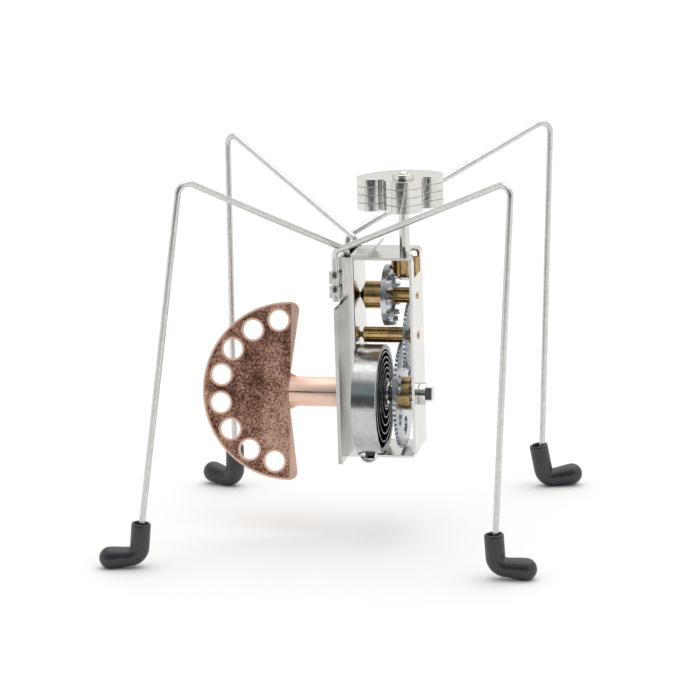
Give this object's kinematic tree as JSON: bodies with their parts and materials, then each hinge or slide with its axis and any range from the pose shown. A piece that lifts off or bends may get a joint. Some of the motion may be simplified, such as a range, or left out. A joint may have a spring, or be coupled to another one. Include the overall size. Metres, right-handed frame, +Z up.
{
  "type": "clockwork walking toy",
  "caption": "Wind-up walking spider toy: open clockwork with a spiral spring and winding key, an off-centre spinning weight, and bent wire legs in rubber boots.",
  "frame": {"origin": "on the floor, under the middle of the whole model's box, between the four boots", "axes": "+X along the winding arbor from the key towards the right-hand legs, +Y from the front legs to the rear legs, +Z up"},
  "size_m": [0.0846, 0.0697, 0.0762],
  "materials": {
    "nickel_sheet": "nickel-plated pressed steel sheet, bright with fine rolling lines",
    "spring_steel": "hardened spring strip, polished flat faces and darker edges",
    "arbor_steel": "turned steel, bright",
    "zinc_steel": "blue-white zinc plate, satin",
    "brass": "turned and cut brass, bright",
    "copper_plate": "bright copper plate on pressed steel sheet",
    "bright_nickel": "polished nickel plate",
    "leg_wire": "drawn spring wire, satin",
    "rubber": "moulded dark grey rubber, satin"
  },
  "bodies": {
    "frame": {"main_frame": "nickel_sheet", "left_wall": "nickel_sheet", "leg_plate": "nickel_sheet", "mainspring": "spring_steel", "leg_wire_front_left": "leg_wire", "leg_wire_rear_left": "leg_wire", "leg_wire_front_right": "leg_wire", "leg_wire_rear_right": "leg_wire", "boot_front_left": "rubber", "boot_rear_left": "rubber", "boot_front_right": "rubber", "boot_rear_right": "rubber"},
    "winding_set": {"winding_arbor": "arbor_steel", "spring_core": "arbor_steel", "click_spring": "spring_steel", "winding_key": "copper_plate"},
    "main_wheel_set": {"main_wheel": "zinc_steel", "main_wheel_hub": "brass"},
    "second_arbor": {"second_pinion": "brass", "second_wheel": "zinc_steel"},
    "crown_arbor": {"crown_bush": "brass", "crown_pinion": "brass", "crown_wheel": "zinc_steel"},
    "weight": {"weight_shaft": "bright_nickel", "weight_pinion": "brass", "weight_plate_1": "bright_nickel", "weight_plate_2": "bright_nickel", "weight_plate_3": "bright_nickel", "weight_plate_4": "bright_nickel", "weight_boss": "bright_nickel"}
  },
  "joints": [
    {"name": "winding", "type": "hinge", "parent": "frame", "child": "winding_set", "pos_m": [0.00962, -0.002, 0.0276], "axis": [1, 0, 0], "continuous": true, "deforming": ["mainspring"]},
    {"name": "main_wheel_spin", "type": "hinge", "parent": "frame", "child": "main_wheel_set", "pos_m": [0.01167, -0.002, 0.0276], "axis": [1, 0, 0], "continuous": true},
    {"name": "second_arbor_spin", "type": "hinge", "parent": "frame", "child": "second_arbor", "pos_m": [0.01327, -0.002, 0.03933], "axis": [1, 0, 0], "continuous": true},
    {"name": "crown_arbor_spin", "type": "hinge", "parent": "frame", "child": "crown_arbor", "pos_m": [0.00962, -0.002, 0.04727], "axis": [1, 0, 0], "continuous": true},
    {"name": "weight_spin", "type": "hinge", "parent": "frame", "child": "weight", "pos_m": [0.01297, -0.002, 0.0511], "axis": [0, 0, 1], "continuous": true}
  ],
  "couplings": [
    {"joint": "crown_arbor_spin", "follows": "weight_spin", "ratio": 0.44444},
    {"joint": "second_arbor_spin", "follows": "weight_spin", "ratio": -0.093567},
    {"joint": "main_wheel_spin", "follows": "weight_spin", "ratio": 0.012476}
  ]
}
